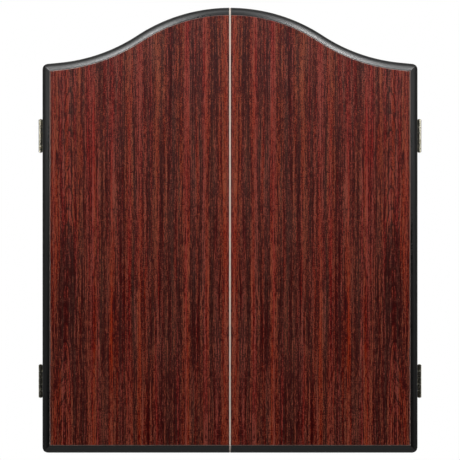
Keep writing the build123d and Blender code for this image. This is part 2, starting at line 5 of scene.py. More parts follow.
import bpy
from bpy.props import FloatProperty, FloatVectorProperty, IntProperty, PointerProperty
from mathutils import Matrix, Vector


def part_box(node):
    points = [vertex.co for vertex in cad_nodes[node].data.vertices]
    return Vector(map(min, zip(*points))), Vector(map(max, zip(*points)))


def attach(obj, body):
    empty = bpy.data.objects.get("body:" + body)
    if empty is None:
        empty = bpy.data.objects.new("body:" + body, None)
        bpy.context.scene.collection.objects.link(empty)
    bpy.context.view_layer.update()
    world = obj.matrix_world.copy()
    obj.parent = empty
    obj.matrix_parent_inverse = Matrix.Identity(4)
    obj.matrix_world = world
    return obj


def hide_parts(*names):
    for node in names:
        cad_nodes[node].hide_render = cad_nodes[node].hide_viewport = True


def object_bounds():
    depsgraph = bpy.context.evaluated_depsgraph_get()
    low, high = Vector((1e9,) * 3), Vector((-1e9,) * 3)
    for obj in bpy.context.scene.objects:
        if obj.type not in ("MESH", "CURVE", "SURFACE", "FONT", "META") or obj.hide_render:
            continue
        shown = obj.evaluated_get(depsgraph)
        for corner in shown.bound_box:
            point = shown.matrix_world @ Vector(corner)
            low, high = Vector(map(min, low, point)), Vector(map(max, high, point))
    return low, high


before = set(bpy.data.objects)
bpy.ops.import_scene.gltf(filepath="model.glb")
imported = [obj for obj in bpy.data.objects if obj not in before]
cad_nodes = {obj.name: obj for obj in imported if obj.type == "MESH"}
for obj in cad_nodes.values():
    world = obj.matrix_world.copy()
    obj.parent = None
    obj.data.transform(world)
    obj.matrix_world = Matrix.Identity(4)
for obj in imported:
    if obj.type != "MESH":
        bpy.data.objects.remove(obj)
cad_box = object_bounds()

bl_info = {
    "name": "Dart board cabinet",
    "version": (1, 0, 0),
    "blender": (4, 5, 0),
    "location": "3D View > Sidebar > Cabinet",
    "description": "Dresses a dart board cabinet in rosewood, black mouldings, brass and chalkboard paint",
    "category": "Object",
}

HANDS = ("left", "right")
MM = 0.001

# Rosewood figure in millimetres: distance of each light streak from the meeting edge and half its width
LIGHT_STREAKS = ((6, 11), (34, 7), (60, 10), (100, 6), (122, 8), (137, 6), (161, 8), (185, 10), (230, 20))
FIGURE_REACH = 262

# Where the cut edge darkens over the base, where painted shade darkens it under the crown, and where lacquer
# dulls behind the front
DARKER_ABOVE_BASE = (0.014, 0.030)
SHADED_EDGE = (0.050, 0.015)
DULLED_LACQUER = (0.0010, 0.0030)

# Colours of dirt and age on the finishes
DUST = (0.40, 0.38, 0.35)
PALE_DUST = (0.42, 0.40, 0.37)
BAND_LINES = (0.55, 0.43, 0.34)
BAND_GRIME = (0.60, 0.50, 0.42)
FOIL_SCUFFS = (0.16, 0.15, 0.14)
HINGE_TARNISH = (0.58, 0.50, 0.34)
STEEL_TARNISH = (0.36, 0.37, 0.37)
ZINC_TARNISH = (0.34, 0.33, 0.30)
BRASS_TARNISH = (0.30, 0.20, 0.09)

# Softboxes on the right: place, aim across and up the door, and sides, in metres; each has a twin on the left
SOFTBOXES = {
    "key": ((0.72, -1.40, 1.56), (0.15, 0.20), (0.60, 0.22)),
    "front": ((0.40, -1.20, 0.64), (0.15, 0.20), (0.30, 0.30)),
    "side": ((0.98, -0.90, 0.30), (0.25, 0.15), (0.35, 0.35)),
}

# Half the floor's width, and the distances between which it fades into the backdrop
FLOOR_REACH = 4.0
FLOOR_FADE = (1.6, 3.2)


# Settings

def setting(kind, **options):
    """A maker of settings of one kind, each with a name, a description and a default."""

    def make(name, description, default):
        return kind(name=name, description=description, default=default, **options)

    return make


colour = setting(FloatVectorProperty, subtype="COLOR", size=3, min=0.0, max=1.0)
number = setting(FloatProperty, min=0.0)
share = setting(FloatProperty, min=0.0, max=1.0, subtype="FACTOR")
size = setting(FloatProperty, min=0.0, unit="LENGTH", precision=5)
power = setting(FloatProperty, min=0.0, unit="POWER")


class RosewoodSettings(bpy.types.PropertyGroup):
    """The figured laminate on the doors."""

    dark: colour("Dark grain", "Colour of the dark bands and pores", (0.024, 0.0, 0.0))
    middle: colour("Middle grain", "Colour between the bands", (0.082, 0.0004, 0.0))
    light: colour("Light grain", "Colour of the bright streaks", (0.215, 0.016, 0.0))
    crimson: colour("Crimson grain", "Colour of the cooler bright streaks", (0.205, 0.009, 0.006))
    ash: colour("Ash", "Colour that the ashen lines add to the red ones", (0.0, 0.038, 0.026))
    cut_edge: colour("Cut edge", "Colour of the bevelled edge of the laminate", (0.95, 0.80, 0.72))
    streak_tone: share("Streak tone", "Lightness of the light streaks", 0.80)
    ground_tone: share("Ground tone", "Lightness of the wood between the light streaks", 0.32)
    drift: size("Drift", "How far a band wanders sideways up the door", 0.006)
    flame_offset: size("Flame offset", "Distance of the arched figure from the meeting edge", 0.2215)
    flame_width: size("Flame width", "Half the width of the arched figure", 0.026)
    flame_top: size("Flame top", "Height of the arched figure's top over the middle of the board", 0.250)
    flame_bow: number("Flame bow", "How steeply the legs of the arched figure fall, per metre", 520.0)
    flame_lean: share("Flame lean", "Slope of the arched figure towards the hinges, downwards", 0.02)
    ring_spacing: size("Ring spacing", "Distance between the rings of the arched figure", 0.026)
    heart_depth: size("Heart depth", "Distance of the dark heart under the arched figure's top", 0.195)
    heart_height: size("Heart height", "Height of the dark heart", 0.165)
    heart_blur: size("Heart blur", "Half the width of the dark heart's soft edge", 0.015)
    sheen: share("Roughness", "Roughness of the lacquer", 0.30)


class FinishSettings(bpy.types.PropertyGroup):
    """The other finishes of the cabinet."""

    moulding: colour("Moulding", "Black lacquer on the mouldings", (0.0020, 0.0019, 0.0019))
    band: colour("Meeting band", "Bare edging down the meeting edges", (0.70, 0.60, 0.53))
    foil: colour("Carcass foil", "Black foil on the carcass boards", (0.020, 0.019, 0.0185))
    board: colour("Fibreboard", "Raw fibreboard of the back and the doors", (0.40, 0.265, 0.16))
    dowel: colour("Dowels", "Beech of the dowels", (0.62, 0.44, 0.27))
    brass: colour("Hinge brass", "Pale brass plate on the hinges", (0.90, 0.86, 0.70))
    zinc: colour("Zinc", "Zinc plate on the screws and steel plates", (0.62, 0.62, 0.60))
    catch: colour("Catch", "Brown plastic of the magnetic catch", (0.085, 0.045, 0.028))
    ferrite: colour("Ferrite", "Dark grey of the magnets", (0.045, 0.045, 0.048))
    rack: colour("Dart rack", "Black plastic of the dart racks", (0.022, 0.022, 0.023))


class ScoreboardSettings(bpy.types.PropertyGroup):
    """The chalkboard scoreboards inside the doors."""

    paint: colour("Paint", "Chalkboard paint", (0.020, 0.026, 0.023))
    chalk: colour("Chalk", "Ruled lines and wiped chalk", (0.66, 0.68, 0.64))
    row: size("Row height", "Distance between the ruled lines", 0.036)
    column: size("Column width", "Width of the columns between the upright lines", 0.060)
    line: size("Line width", "Width of a ruled line", 0.0014)
    margin: size("Margin", "Bare margin round the ruled lines", 0.016)


class ScrewSettings(bpy.types.PropertyGroup):
    """Cross-recessed wood screws."""

    dome: size("Pan head height", "Height of a pan head's dome", 0.0018)
    core: share("Thread core", "Core of the thread as a share of the shank", 0.74)
    pitch: size("Thread pitch", "Distance between the turns of the thread", 0.0011)
    recess_span: share("Recess span", "Length of the cross recess as a share of the head", 0.62)
    recess_width: share("Recess width", "Width of the cross recess as a share of the head", 0.15)
    recess_depth: size("Recess depth", "Depth of the cross recess", 0.0011)
    seed: IntProperty(name="Seed", description="Seed of the angles of the recesses", default=7, min=0)


class StudioSettings(bpy.types.PropertyGroup):
    """Camera, lamps and floor."""

    lens: FloatProperty(name="Lens", description="Focal length", default=200.0, min=1.0, unit="CAMERA")
    width: size("View width", "Width of the view at the front of the doors", 0.6238)
    eye_level: size("Eye level", "Height of the camera over the middle of the board", 0.0228)
    key_power: power("Key power", "Power of each softbox over the camera", 21.0)
    front_power: power("Front power", "Power of each softbox in front of the doors", 2.5)
    side_power: power("Side power", "Power of each softbox at the sides", 1.3)
    fill: share("Fill", "Light from all round", 0.16)
    gloom: share("Gloom", "Brightness of the dark room in front, as reflections show it", 0.012)
    floor_drop: size("Floor drop", "Height of the board's middle over the floor", 1.73)
    floor: colour("Floor", "Colour of the floor", (0.80, 0.80, 0.79))


class CabinetLooks(bpy.types.PropertyGroup):
    """All the settings of the cabinet's looks."""

    rosewood: PointerProperty(type=RosewoodSettings)
    finishes: PointerProperty(type=FinishSettings)
    scoreboards: PointerProperty(type=ScoreboardSettings)
    screws: PointerProperty(type=ScrewSettings)
    studio: PointerProperty(type=StudioSettings)


# Node helpers

def feed(socket, value):
    """Links a value to a socket, or sets it there."""
    if isinstance(value, bpy.types.NodeSocket):
        socket.id_data.links.new(value, socket)
    elif socket.type == "RGBA" and len(value) == 3:
        socket.default_value = (*value, 1.0)
    else:
        socket.default_value = value


def place(tree, kind, inputs=None, **options):
    """Adds a node, with its options and its inputs."""
    node = tree.nodes.new(kind)
    for option, value in options.items():
        setattr(node, option, value)
    for key, value in (inputs or {}).items():
        feed(node.inputs[key], value)
    return node


def tree_of(*values):
    """The node tree of the first socket among some values."""
    return next(value.id_data for value in values if isinstance(value, bpy.types.NodeSocket))


def maths(operation, *values, clamp=False):
    """One sum on numbers, of which at least one is a socket."""
    inputs = dict(enumerate(values))
    return place(tree_of(*values), "ShaderNodeMath", inputs, operation=operation, use_clamp=clamp).outputs[0]


def product(*values):
    """The product of two or more numbers."""
    result = values[0]
    for value in values[1:]:
        result = maths("MULTIPLY", result, value)
    return result


def vector_maths(operation, *values):
    """One sum on vectors."""
    inputs = dict(enumerate(values))
    return place(tree_of(*values), "ShaderNodeVectorMath", inputs, operation=operation).outputs[0]


def total(*terms):
    """The sum of (value, weight) terms, the first of which is a socket's."""
    result = product(*terms[0])
    for value, weight in terms[1:]:
        result = maths("MULTIPLY_ADD", value, weight, result)
    return result


def rise(value, start, end):
    """A smooth step from 0 at start to 1 at end."""
    inputs = {"Value": value, "From Min": start, "From Max": end}
    node = place(value.id_data, "ShaderNodeMapRange", inputs, interpolation_type="SMOOTHSTEP")
    return node.outputs["Result"]


def split_axes(vector):
    """The three axes of a vector."""
    return place(vector.id_data, "ShaderNodeSeparateXYZ", {"Vector": vector}).outputs[:3]


def join_axes(x, y, z):
    """A vector from three axes."""
    return place(tree_of(x, y, z), "ShaderNodeCombineXYZ", {"X": x, "Y": y, "Z": z}).outputs[0]


def noise(vector, scale, detail=2.0, roughness=0.5):
    """Noise at one scale or one for each axis, in cells per metre."""
    mapped = place(vector.id_data, "ShaderNodeMapping", {"Vector": vector, "Scale": scale})
    inputs = {"Vector": mapped.outputs[0], "Scale": 1.0, "Detail": detail, "Roughness": roughness}
    return place(vector.id_data, "ShaderNodeTexNoise", inputs).outputs["Fac"]


def mix(factor, first, second, blend_type="MIX"):
    """A mix of two colours."""
    node = place(factor.id_data, "ShaderNodeMix", data_type="RGBA", blend_type=blend_type)
    for socket, value in zip((node.inputs[0], node.inputs[6], node.inputs[7]), (factor, first, second)):
        feed(socket, value)
    return node.outputs[2]


def bump(height, distance, strength):
    """A bumped normal from a height."""
    inputs = {"Height": height, "Distance": distance, "Strength": strength}
    return place(height.id_data, "ShaderNodeBump", inputs).outputs["Normal"]


def object_space(tree):
    """The coordinates and the normal in the object's own space."""
    node = place(tree, "ShaderNodeTexCoord")
    return node.outputs["Object"], node.outputs["Normal"]


def new_group(name, inputs, outputs):
    """An empty shader group whose sockets are numbers, but for an input that is named Vector."""
    tree = bpy.data.node_groups.new(name, "ShaderNodeTree")
    for socket in inputs:
        kind = "NodeSocketVector" if socket == "Vector" else "NodeSocketFloat"
        tree.interface.new_socket(socket, in_out="INPUT", socket_type=kind)
    for socket in outputs:
        tree.interface.new_socket(socket, in_out="OUTPUT", socket_type="NodeSocketFloat")
    return tree, place(tree, "NodeGroupInput").outputs, place(tree, "NodeGroupOutput").inputs


def use(tree, group, **inputs):
    """Places a shader group with its own values and gives its outputs."""
    node = place(tree, "ShaderNodeGroup", node_tree=bpy.data.node_groups[group])
    for name, value in inputs.items():
        feed(node.inputs[name.replace("_", " ")], value)
    return node.outputs


def new_finish(name, **constants):
    """A material with one Principled shader, whose constants are set on its own sockets."""
    material = bpy.data.materials.new(name)
    material.use_nodes = True
    tree = material.node_tree
    tree.nodes.clear()
    shader = place(tree, "ShaderNodeBsdfPrincipled")
    for socket, value in constants.items():
        feed(shader.inputs[socket.replace("_", " ")], value)
    place(tree, "ShaderNodeOutputMaterial", {"Surface": shader.outputs[0]})
    return material, tree, shader.inputs


def coat(shader, tint, roughness, height, depth, strength=0.5):
    """Feeds a finish its colour, its roughness and its fine relief."""
    feed(shader["Base Color"], tint)
    feed(shader["Roughness"], roughness)
    feed(shader["Normal"], bump(height, depth, strength))


def shade(tint, factor):
    """A lighter or darker colour."""
    return [min(factor * part, 1.0) for part in tint]


def dress(material, *names):
    """Gives CAD nodes their finish."""
    for name in names:
        cad_nodes[name].data.materials[0] = material


def both(*names):
    """The left and right nodes of the given names."""
    return [f"{hand}_{name}" for hand in HANDS for name in names]


# Effects that several finishes share

def build_wood_grain():
    """Streaks and pores that run along Z."""
    inputs, outputs = ("Vector", "Across", "Along", "Wander"), ("Streaks", "Lines", "Pores")
    _, given, result = new_group("Wood grain", inputs, outputs)
    wander = maths("SUBTRACT", noise(given["Vector"], (24.0, 24.0, 7.0)), 0.5)
    shift = join_axes(product(wander, given["Wander"]), 0.0, 0.0)
    moved = vector_maths("ADD", given["Vector"], shift)
    cells = join_axes(given["Across"], given["Across"], given["Along"])
    stretched = vector_maths("MULTIPLY", moved, cells)
    feed(result["Streaks"], noise(stretched, (1.0, 1.0, 1.0), detail=1.5, roughness=0.55))
    drawn = noise(stretched, (1.0, 1.0, 0.4), detail=1.0)
    feed(result["Lines"], rise(drawn, 0.40, 0.60))
    short = noise(stretched, (1.7, 1.7, 5.0), detail=1.0)
    feed(result["Pores"], rise(short, 0.54, 0.66))


def build_handling_wear():
    """Uneven gloss and a fine surface, as paint and plastic have after handling."""
    inputs, outputs = ("Roughness", "Spread", "Texture"), ("Roughness", "Height", "Smears")
    tree, given, result = new_group("Handling wear", inputs, outputs)
    position, _ = object_space(tree)
    smears = noise(position, (14.0, 14.0, 9.0), detail=4.0, roughness=0.6)
    texture = noise(position, given["Texture"], detail=3.0)
    centred = maths("SUBTRACT", total((smears, 1.3), (texture, 0.4)), 0.85)
    feed(result["Roughness"], maths("MULTIPLY_ADD", centred, given["Spread"], given["Roughness"]))
    feed(result["Height"], texture)
    feed(result["Smears"], smears)


def build_settled_dust():
    """Dust on the faces that look up."""
    tree, given, result = new_group("Settled dust", ("Amount",), ("Dust",))
    position, normal = object_space(tree)
    upward = rise(split_axes(normal)[2], 0.55, 0.95)
    patches = rise(noise(position, (60.0, 60.0, 60.0), detail=5.0, roughness=0.65), 0.35, 0.75)
    feed(result["Dust"], product(upward, patches, given["Amount"]))


def build_plate_ageing():
    """Dull spots and fine draw lines in plated metal."""
    inputs, outputs = ("Roughness", "Spots"), ("Tarnish", "Roughness", "Height")
    tree, given, result = new_group("Plate ageing", inputs, outputs)
    position, _ = object_space(tree)
    spots = noise(position, given["Spots"], detail=4.0, roughness=0.65)
    lines = noise(position, (2600.0, 2600.0, 90.0), detail=2.0)
    tarnish = rise(spots, 0.45, 0.78)
    feed(result["Tarnish"], tarnish)
    duller = maths("SUBTRACT", total((tarnish, 0.22), (lines, 0.12)), 0.06)
    feed(result["Roughness"], maths("ADD", duller, given["Roughness"]))
    feed(result["Height"], lines)


class CABINET_OT_shared_effects(bpy.types.Operator):
    """Builds the shader groups that several finishes share"""

    bl_idname = "cabinet.shared_effects"
    bl_label = "Shared effects"

    def execute(self, context):
        build_wood_grain()
        build_handling_wear()
        build_settled_dust()
        build_plate_ageing()
        return {"FINISHED"}


# Doors

def streak_bands(settings, across):
    """Broad light streaks on a darker ground."""
    reached = maths("DIVIDE", across, FIGURE_REACH * MM)
    bands = place(across.id_data, "ShaderNodeValToRGB", {"Fac": reached})
    stops = bands.color_ramp.elements
    ground, streak = ((tone, tone, tone, 1.0) for tone in (settings.ground_tone, settings.streak_tone))
    stops.remove(stops[1])
    stops[0].color = ground
    for middle, half_width in LIGHT_STREAKS:
        for side, tint in ((-1, ground), (0, streak), (1, ground)):
            stops.new(max(middle + side * half_width, 0) / FIGURE_REACH).color = tint
    return bands.outputs["Color"]


def flame_figure(settings, across, folded):
    """The tone and the share of the arched figure near the hinges: thin rings, and a dark heart low down."""
    z = split_axes(folded)[2]
    leaning = maths("MULTIPLY_ADD", z, settings.flame_lean, across)
    offset = maths("SUBTRACT", leaning, settings.flame_offset)
    bowed = product(offset, offset, settings.flame_bow)
    ragged = noise(folded, (160.0, 1.0, 14.0), detail=3.0)
    outline = total((bowed, 1.0), (z, 1.0), (ragged, 0.03))
    below = maths("SUBTRACT", settings.flame_top, outline)
    ring = maths("FRACT", maths("DIVIDE", below, settings.ring_spacing))
    top, blur = settings.heart_depth, settings.heart_blur
    foot = top + settings.heart_height
    sunk = rise(below, top - blur, top + blur)
    heart = product(sunk, rise(below, foot + blur, foot - blur))
    tone = total((maths("POWER", ring, 4.0), -0.80), (heart, -0.45), (1.0, 0.70))
    near = rise(maths("ABSOLUTE", offset), settings.flame_width, 0.25 * settings.flame_width)
    return tone, product(near, 0.85)


def cut_edge_tint(settings, position):
    """The pale core of the laminate, worn at random, darker above the base, and darkened at the crown by
    painted shade.
    """
    z = split_axes(position)[2]
    worn = noise(position, (260.0, 260.0, 60.0), detail=3.0)
    # The cut edge is darker above the base, and painted shade darkens it under the crown
    above_base = rise(z, *(cad_box[0].z + height for height in DARKER_ABOVE_BASE))
    shaded = rise(z, *(cad_box[1].z - depth for depth in SHADED_EDGE))
    wear_and_painted_shade = total((worn, 0.20), (above_base, 0.33), (shaded, 0.37))
    return mix(wear_and_painted_shade, settings.cut_edge, settings.middle)


def rosewood_finish(settings):
    """Figured rosewood laminate, mirrored about the centre line, with a pale bevelled cut edge."""
    material, tree, shader = new_finish("rosewood", IOR=1.5, Specular_IOR_Level=0.25)
    position, normal = object_space(tree)
    x, y, z = split_axes(position)
    across = maths("ABSOLUTE", x)
    folded = join_axes(across, y, z)

    # The figure drifts sideways up the door
    drift = maths("SUBTRACT", noise(folded, (7.0, 1.0, 3.2), detail=1.5), 0.5)
    shifted = maths("MULTIPLY_ADD", drift, settings.drift, across)
    flame_tone, flame_share = flame_figure(settings, shifted, folded)
    main_tone = mix(flame_share, streak_bands(settings, shifted), flame_tone)

    # Streaks at three widths and short dark pores
    broad = use(tree, "Wood grain", Vector=folded, Across=210.0, Along=2.4, Wander=0.005)
    narrow = use(tree, "Wood grain", Vector=folded, Across=640.0, Along=6.0, Wander=0.007)
    hair = use(tree, "Wood grain", Vector=folded, Across=1000.0, Along=130.0, Wander=0.007)
    grit = noise(folded, (1000.0, 1.0, 600.0), detail=1.0)
    lines = total((narrow["Streaks"], 2.00), (hair["Streaks"], 1.80), (grit, 1.80))
    fine = total((narrow["Pores"], -0.55), (hair["Pores"], -0.35), (lines, 1.0))
    tone = total((main_tone, 0.98), (broad["Streaks"], 0.45), (broad["Lines"], 0.16), (fine, 1.12))
    level = maths("SUBTRACT", tone, 3.34, clamp=True)
    warmth = rise(noise(folded, (130.0, 1.0, 1.4), detail=1.0), 0.40, 0.60)
    streak_tint = mix(warmth, settings.crimson, settings.light)
    ground = mix(rise(level, 0.06, 0.54), settings.dark, settings.middle)
    red_grain = mix(rise(level, 0.44, 0.98), ground, streak_tint)

    # Fine ashen lines beside the red ones
    elsewhere = join_axes(across, maths("ADD", y, 0.05), z)
    ash_bands = use(tree, "Wood grain", Vector=elsewhere, Across=110.0, Along=2.2, Wander=0.005)
    ash_lines = use(tree, "Wood grain", Vector=elsewhere, Across=780.0, Along=9.0, Wander=0.007)
    ashen = total((ash_bands["Streaks"], 0.5), (ash_lines["Streaks"], 1.3), (fine, 0.60))
    strength = maths("MULTIPLY_ADD", level, 0.75, 0.25)
    ash_share = product(rise(ashen, 2.26, 2.86), strength)
    grain = mix(ash_share, red_grain, settings.ash, "ADD")

    # The bevel is what doesn't face the front
    bevel = rise(split_axes(normal)[1], -0.97, -0.85)
    tint = mix(bevel, grain, cut_edge_tint(settings, position))
    wear = use(tree, "Handling wear", Roughness=settings.sheen, Spread=0.10, Texture=700.0)
    roughness = total((wear["Roughness"], 1.0), (narrow["Pores"], 0.10))
    height = total((narrow["Pores"], -0.8), (hair["Streaks"], 0.3), (wear["Height"], 0.25))
    coat(shader, tint, roughness, height, depth=0.00012)
    return material


class CABINET_OT_door_faces(bpy.types.Operator):
    """Finishes the rosewood faces of the doors"""

    bl_idname = "cabinet.door_faces"
    bl_label = "Door faces"

    def execute(self, context):
        dress(rosewood_finish(context.scene.cabinet_looks.rosewood), *both("door_laminate"))
        return {"FINISHED"}


def moulding_finish(settings):
    """Satin black lacquer over a faint wood grain, dusty on top and dulled by hands along the outside."""
    material, tree, shader = new_finish("black_moulding", IOR=1.55)
    position, _ = object_space(tree)
    grain = use(tree, "Wood grain", Vector=position, Across=700.0, Along=22.0, Wander=0.002)
    wear = use(tree, "Handling wear", Roughness=0.29, Spread=0.12, Texture=520.0)
    dust = use(tree, "Settled dust", Amount=0.10)
    lacquer = mix(grain["Streaks"], settings.moulding, shade(settings.moulding, 2.0))
    tint = mix(dust["Dust"], lacquer, PALE_DUST)
    dulled = rise(split_axes(position)[1], *(cad_box[0].y + depth for depth in DULLED_LACQUER))
    roughness = total((wear["Roughness"], 1.0), (dulled, 0.24))
    height = total((grain["Streaks"], 0.7), (wear["Height"], 0.5))
    coat(shader, tint, roughness, height, depth=0.00016)
    return material


class CABINET_OT_mouldings(bpy.types.Operator):
    """Finishes the black bevelled mouldings of the doors"""

    bl_idname = "cabinet.mouldings"
    bl_label = "Mouldings"

    def execute(self, context):
        finish = moulding_finish(context.scene.cabinet_looks.finishes)
        dress(finish, *both("top_moulding", "side_moulding", "bottom_moulding"))
        return {"FINISHED"}


def band_finish(settings):
    """Bare pale edging with fine lines along it and grubby patches."""
    material, tree, shader = new_finish("pale_band", IOR=1.45)
    position, _ = object_space(tree)
    grain = use(tree, "Wood grain", Vector=position, Across=1800.0, Along=30.0, Wander=0.001)
    wear = use(tree, "Handling wear", Roughness=0.55, Spread=0.15, Texture=1200.0)
    grubby = product(rise(wear["Smears"], 0.45, 0.75), 0.35)
    lined = mix(product(grain["Pores"], 0.35), settings.band, BAND_LINES)
    tint = mix(grubby, lined, BAND_GRIME)
    coat(shader, tint, wear["Roughness"], grain["Streaks"], depth=0.0001, strength=0.4)
    return material


class CABINET_OT_meeting_bands(bpy.types.Operator):
    """Finishes the pale bands down the meeting edges"""

    bl_idname = "cabinet.meeting_bands"
    bl_label = "Meeting bands"

    def execute(self, context):
        dress(band_finish(context.scene.cabinet_looks.finishes), *both("meeting_edge_band"))
        return {"FINISHED"}


# Boards

def fibreboard_finish(settings):
    """Raw fibreboard: matted fibres, darker chips and faint pressing marks."""
    material, tree, shader = new_finish("raw_board", IOR=1.4)
    position, _ = object_space(tree)
    fibres = noise(position, (900.0, 900.0, 500.0), detail=5.0, roughness=0.75)
    clouds = noise(position, (11.0, 11.0, 9.0), detail=4.0, roughness=0.6)
    flakes = noise(position, (170.0, 170.0, 420.0), detail=3.0, roughness=0.6)
    dark = shade(settings.board, 0.52)
    ground = mix(rise(clouds, 0.3, 0.7), settings.board, shade(settings.board, 1.35))
    matted = mix(rise(fibres, 0.42, 0.72), ground, dark)
    chips = product(rise(flakes, 0.62, 0.74), 0.6)
    roughness = total((fibres, 0.25), (clouds, 0.1), (1.0, 0.55))
    height = total((fibres, 0.8), (flakes, 0.4))
    coat(shader, mix(chips, matted, dark), roughness, height, depth=0.0003, strength=0.45)
    return material


def foil_finish(settings):
    """Black foil with a fine embossed grain up the boards, scuffed and a little dusty."""
    material, tree, shader = new_finish("black_board", IOR=1.48)
    position, _ = object_space(tree)
    grain = use(tree, "Wood grain", Vector=position, Across=900.0, Along=18.0, Wander=0.003)
    wear = use(tree, "Handling wear", Roughness=0.46, Spread=0.16, Texture=800.0)
    dust = use(tree, "Settled dust", Amount=0.13)
    scuffs = rise(noise(position, (70.0, 70.0, 420.0), detail=3.0), 0.66, 0.80)
    foil = mix(grain["Pores"], shade(settings.foil, 1.35), shade(settings.foil, 0.5))
    scuffed = mix(product(scuffs, 0.25), foil, FOIL_SCUFFS)
    height = total((grain["Pores"], -0.8), (wear["Height"], 0.2))
    coat(shader, mix(dust["Dust"], scuffed, DUST), wear["Roughness"], height, depth=0.0002)
    return material


def dowel_finish(settings):
    """Plain beech with short flecks."""
    material, tree, shader = new_finish("dowel_wood", IOR=1.45)
    position, _ = object_space(tree)
    grain = use(tree, "Wood grain", Vector=position, Across=1500.0, Along=160.0, Wander=0.001)
    flecked = mix(grain["Pores"], settings.dowel, shade(settings.dowel, 0.55))
    roughness = total((grain["Streaks"], 0.3), (1.0, 0.45))
    coat(shader, flecked, roughness, grain["Streaks"], depth=0.0001, strength=0.4)
    return material


class CABINET_OT_boards(bpy.types.Operator):
    """Finishes the carcass, the back panel and the door cores"""

    bl_idname = "cabinet.boards"
    bl_label = "Boards"

    def execute(self, context):
        finishes = context.scene.cabinet_looks.finishes
        dress(foil_finish(finishes), *both("side_panel"), "bottom_panel", "arched_top_panel")
        dress(fibreboard_finish(finishes), *both("door_core"), "back_panel")
        dress(dowel_finish(finishes), "carcass_dowels")
        return {"FINISHED"}


# Metal

LEAF_ROUGHNESS = 0.42
KNUCKLE_ROUGHNESS = 0.17
KNUCKLE_BLEND = 1.0 * MM


def plate_surface(tree, shader, tint, tarnish_tint, roughness, spots):
    """Dull spots and fine draw lines in plated metal."""
    age = use(tree, "Plate ageing", Roughness=roughness, Spots=spots)
    aged = mix(age["Tarnish"], tint, tarnish_tint)
    coat(shader, aged, age["Roughness"], age["Height"], depth=0.00004, strength=0.4)


def plate_finish(name, tint, tarnish_tint, roughness, spots):
    """Plated metal of one roughness."""
    material, tree, shader = new_finish(name, Metallic=1.0)
    plate_surface(tree, shader, tint, tarnish_tint, roughness, spots)
    return material


def hinge_finish(tint):
    """Pale brass plate: satin on the leaves, rubbed smooth on the knuckles."""
    material, tree, shader = new_finish("hinge_brass", Metallic=1.0)
    position, _ = object_space(tree)
    across = maths("ABSOLUTE", split_axes(position)[0])
    pin_low, pin_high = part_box("right_upper_hinge_pin")
    knuckle_edge = pin_low.x + pin_high.x - cad_box[1].x
    leaf = rise(across, knuckle_edge, knuckle_edge - KNUCKLE_BLEND)
    roughness = maths("MULTIPLY_ADD", leaf, LEAF_ROUGHNESS - KNUCKLE_ROUGHNESS, KNUCKLE_ROUGHNESS)
    plate_surface(tree, shader, tint, HINGE_TARNISH, roughness, 240.0)
    return material


class CABINET_OT_hinges(bpy.types.Operator):
    """Finishes the brass-plated butt hinges"""

    bl_idname = "cabinet.hinges"
    bl_label = "Hinges"

    def execute(self, context):
        finish = hinge_finish(context.scene.cabinet_looks.finishes.brass)
        for level in ("upper", "lower"):
            dress(finish, *both(f"{level}_cabinet_leaf", f"{level}_door_leaf", f"{level}_hinge_pin"))
        return {"FINISHED"}


class CABINET_OT_steel_plates(bpy.types.Operator):
    """Finishes the zinc-plated bracket, strike plates and pole plates"""

    bl_idname = "cabinet.steel_plates"
    bl_label = "Steel plates"

    def execute(self, context):
        zinc = context.scene.cabinet_looks.finishes.zinc
        finish = plate_finish("plated_steel", zinc, STEEL_TARNISH, 0.34, 120.0)
        dress(finish, *both("strike_plate"), "board_bracket", "catch_pole_plates")
        return {"FINISHED"}


# Plastic and ferrite

def moulded_finish(name, tint, roughness, texture):
    """Moulded plastic with a fine spark texture, rubbed and a little dusty."""
    material, tree, shader = new_finish(name, IOR=1.5)
    wear = use(tree, "Handling wear", Roughness=roughness, Spread=0.18, Texture=texture)
    dust = use(tree, "Settled dust", Amount=0.18)
    rubbed = mix(rise(wear["Smears"], 0.4, 0.75), tint, shade(tint, 1.7))
    coat(shader, mix(dust["Dust"], rubbed, DUST), wear["Roughness"], wear["Height"], depth=0.00012)
    return material


class CABINET_OT_dart_racks(bpy.types.Operator):
    """Finishes the moulded dart racks"""

    bl_idname = "cabinet.dart_racks"
    bl_label = "Dart racks"

    def execute(self, context):
        rack = context.scene.cabinet_looks.finishes.rack
        dress(moulded_finish("rack_plastic", rack, 0.42, 1600.0), *both("dart_rack"))
        return {"FINISHED"}


class CABINET_OT_catch(bpy.types.Operator):
    """Finishes the magnetic catch"""

    bl_idname = "cabinet.catch"
    bl_label = "Catch"

    def execute(self, context):
        finishes = context.scene.cabinet_looks.finishes
        dress(moulded_finish("catch_plastic", finishes.catch, 0.38, 1900.0), "catch_housing")
        dress(moulded_finish("ferrite", finishes.ferrite, 0.62, 2600.0), "catch_magnets")
        return {"FINISHED"}


# Scoreboards

# Where a ruled line fades out, as shares of its width, and how far its ends fade
LINE_FADE = (0.62, 0.40)
LINE_END = 0.6 * MM


def ruled_lines(along, across, pitch, settings, reach_along, reach_across):
    """Lines across a board, one at each pitch, that stop at the margins."""
    steps = maths("PINGPONG", along, pitch / 2)
    near = rise(steps, *(part * settings.line for part in LINE_FADE))
    within = rise(maths("ABSOLUTE", across), reach_across, reach_across - LINE_END)
    inside = rise(maths("ABSOLUTE", along), reach_along + settings.line, reach_along)
    return product(near, within, inside)


